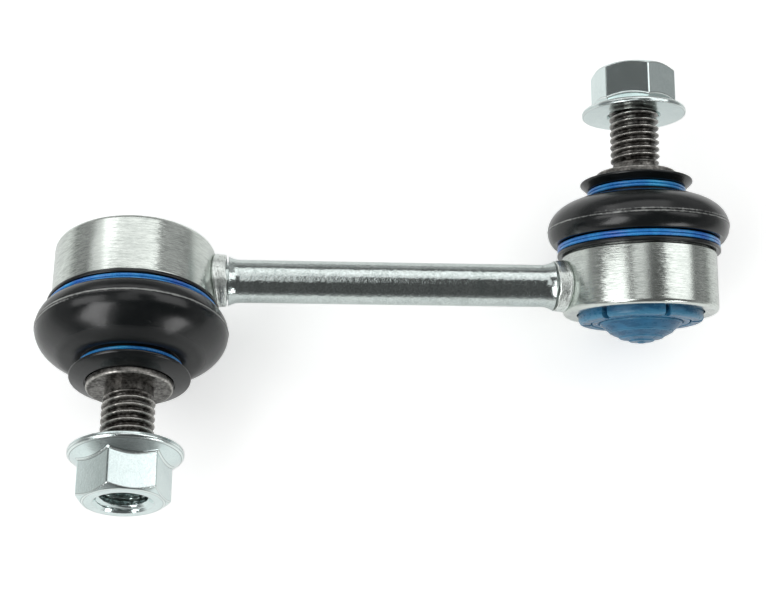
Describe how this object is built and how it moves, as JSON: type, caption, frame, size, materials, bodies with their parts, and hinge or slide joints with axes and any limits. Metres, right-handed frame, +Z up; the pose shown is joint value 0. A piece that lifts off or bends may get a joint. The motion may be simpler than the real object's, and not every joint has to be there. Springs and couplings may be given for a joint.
{
  "type": "stabilizer link",
  "caption": "Rod-type stabilizer link with a booted ball joint at each end, threaded studs facing opposite ways and hexagon flange nuts.",
  "frame": {"origin": "on the plane that the link lies on, below the middle of its rod", "axes": "+X along the rod to the upper end, +Y the way the upper stud points, +Z up from the plane that it lies on"},
  "size_m": [0.1634, 0.1102, 0.0429],
  "materials": {
    "zinc": "bright zinc plate, satin",
    "weld": "rough zinc-plated weld metal",
    "housing": "zinc-plated steel with fine turning marks",
    "plastic": "steel-blue moulded plastic",
    "blue_wire": "blue coated spring wire",
    "rubber": "satin moulded rubber",
    "stud": "dark phosphated steel",
    "nut": "bright zinc plate"
  },
  "bodies": {
    "link": {"rod": "zinc", "lower_weld": "weld", "lower_housing": "housing", "lower_bearing_shell": "plastic", "lower_end_cap": "plastic", "lower_foot_ring": "blue_wire", "upper_weld": "weld", "upper_housing": "housing", "upper_bearing_shell": "plastic", "upper_end_cap": "plastic", "upper_foot_ring": "blue_wire"},
    "lower_gaiter": {"lower_boot": "rubber"},
    "lower_seal": {"lower_collar_ring": "blue_wire"},
    "lower_stud": {"lower_ball_stud": "stud"},
    "lower_nut": {"lower_flange_nut": "nut"},
    "upper_gaiter": {"upper_boot": "rubber"},
    "upper_seal": {"upper_collar_ring": "blue_wire"},
    "upper_stud": {"upper_ball_stud": "stud"},
    "upper_nut": {"upper_flange_nut": "nut"}
  },
  "joints": [
    {"name": "lower_swing", "type": "hinge", "parent": "link", "child": "lower_gaiter", "pos_m": [-0.06, 0, 0.01922], "axis": [-1, 0, 0], "range_deg": [-20, 20], "deforming": ["lower_boot"]},
    {"name": "lower_tilt", "type": "hinge", "parent": "lower_gaiter", "child": "lower_seal", "pos_m": [-0.06, 0, 0.01922], "axis": [0, 0.1616, 0.9869], "range_deg": [-20, 20], "deforming": ["lower_boot"]},
    {"name": "lower_spin", "type": "hinge", "parent": "lower_seal", "child": "lower_stud", "pos_m": [-0.06, 0, 0.01922], "axis": [0, -0.9869, 0.1616], "continuous": true},
    {"name": "lower_nut_travel", "type": "slide", "parent": "lower_stud", "child": "lower_nut", "axis": [0, -0.9869, 0.1616], "range_m": [-0.014, 0.0105]},
    {"name": "upper_swing", "type": "hinge", "parent": "link", "child": "upper_gaiter", "pos_m": [0.06, 0, 0.01922], "axis": [1, 0, 0], "range_deg": [-20, 20], "deforming": ["upper_boot"]},
    {"name": "upper_tilt", "type": "hinge", "parent": "upper_gaiter", "child": "upper_seal", "pos_m": [0.06, 0, 0.01922], "axis": [0, -0.1616, 0.9869], "range_deg": [-20, 20], "deforming": ["upper_boot"]},
    {"name": "upper_spin", "type": "hinge", "parent": "upper_seal", "child": "upper_stud", "pos_m": [0.06, 0, 0.01922], "axis": [0, 0.9869, 0.1616], "continuous": true},
    {"name": "upper_nut_travel", "type": "slide", "parent": "upper_stud", "child": "upper_nut", "axis": [0, 0.9869, 0.1616], "range_m": [-0.014, 0.0105]}
  ]
}
